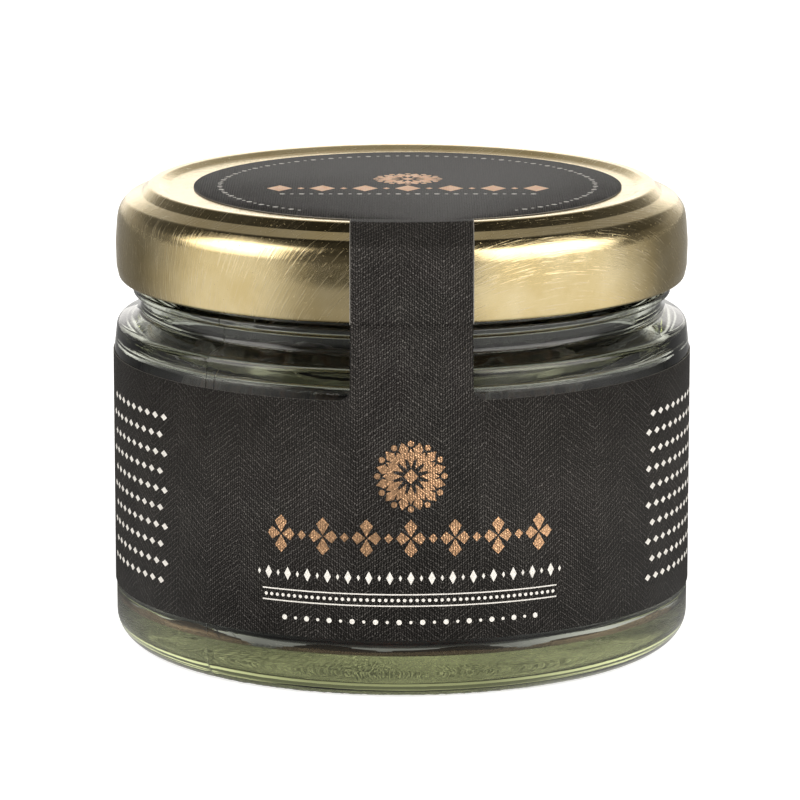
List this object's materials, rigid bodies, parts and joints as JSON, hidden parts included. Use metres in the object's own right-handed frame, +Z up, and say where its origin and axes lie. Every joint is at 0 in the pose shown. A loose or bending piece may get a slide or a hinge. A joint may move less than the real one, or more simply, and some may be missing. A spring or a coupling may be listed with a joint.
{
  "type": "jar of black truffles",
  "caption": "Low round glass jar with whole warty black truffles in a little juice, closed by a gold twist-off lid under a black paper label with a seal strip.",
  "frame": {"origin": "centre of the jar's resting ring, on the surface it stands on", "axes": "+Z up along the jar's axis, the label's tab and seal strip face -Y, +X to the right seen from the front"},
  "size_m": [0.0672, 0.0672, 0.0535],
  "materials": {
    "glass_green": "clear soda-lime glass with a green tint, glossy",
    "gold_lacquer": "satin gold lacquer over brushed tinplate",
    "gasket_cream": "soft moulded sealing compound, matt",
    "label_paper": "black paper with an embossed chevron weave, satin",
    "truffle_skin": "black-brown warty skin, moist and rough",
    "juice_brown": "dark brown clear liquid"
  },
  "bodies": {
    "jar": {"jar_glass": "glass_green", "label_jar": "label_paper", "truffle_large": "truffle_skin", "truffle_medium": "truffle_skin", "truffle_small": "truffle_skin", "truffle_juice": "juice_brown"},
    "lid": {"lid": "gold_lacquer", "lid_gasket": "gasket_cream", "label_lid": "label_paper"}
  },
  "joints": [
    {"name": "lid_twist", "type": "hinge", "parent": "jar", "child": "lid", "pos_m": [0, 0, 0.047], "axis": [0, 0, 1], "range_deg": [0, 60]}
  ]
}
